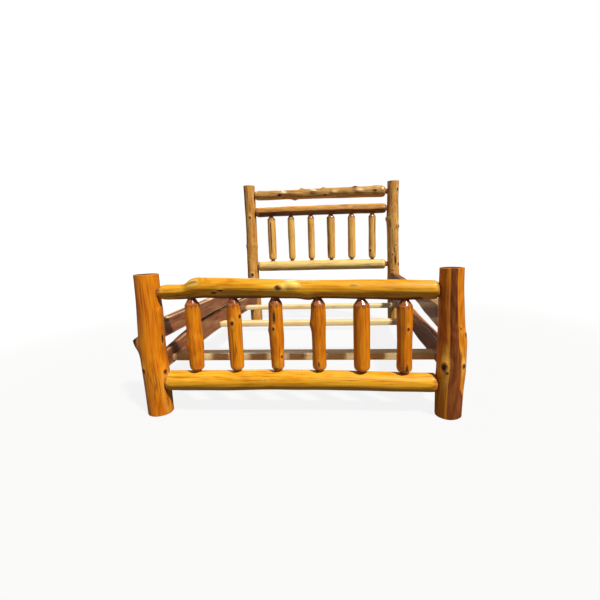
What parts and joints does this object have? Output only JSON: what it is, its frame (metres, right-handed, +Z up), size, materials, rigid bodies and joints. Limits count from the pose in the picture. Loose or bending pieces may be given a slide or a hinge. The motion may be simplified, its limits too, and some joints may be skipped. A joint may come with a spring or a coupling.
{
  "type": "rustic log bed",
  "caption": "Peeled-log bed frame for a queen mattress: posts, cross rails and tapered spindles at head and foot, live-edge side rails and boards across.",
  "frame": {"origin": "on the floor, under the middle of the bed", "axes": "+X to the right seen from the foot, +Y from the foot towards the headboard, +Z up"},
  "size_m": [1.8098, 2.3501, 1.585],
  "materials": {
    "amber_log": "peeled cedar, amber varnish, satin gloss",
    "golden_log": "peeled cedar, clear varnish, satin gloss",
    "red_heartwood": "sawn red heartwood with pale sapwood edges, varnished",
    "pale_slat": "planed softwood board, thin varnish",
    "zinc_steel": "zinc plated"
  },
  "bodies": {
    "root": {"foot_post_left": "amber_log", "foot_post_right": "amber_log", "foot_top_rail": "amber_log", "foot_bottom_rail": "amber_log", "foot_spindle_1": "amber_log", "foot_spindle_2": "amber_log", "foot_spindle_3": "amber_log", "foot_spindle_4": "amber_log", "foot_spindle_5": "amber_log", "foot_spindle_6": "amber_log", "head_post_left": "golden_log", "head_post_right": "golden_log", "head_top_rail": "golden_log", "head_middle_rail": "golden_log", "head_lower_rail": "golden_log", "head_spindle_1": "golden_log", "head_spindle_2": "golden_log", "head_spindle_3": "golden_log", "head_spindle_4": "golden_log", "head_spindle_5": "golden_log", "head_spindle_6": "golden_log", "side_rail_upper_left": "red_heartwood", "side_rail_upper_right": "red_heartwood", "side_rail_lower_left": "red_heartwood", "side_rail_lower_right": "red_heartwood", "slat_foot": "pale_slat", "slat_middle": "pale_slat", "slat_head": "pale_slat", "side_rail_bolts": "zinc_steel", "side_rail_nuts": "zinc_steel"}
  },
  "joints": []
}
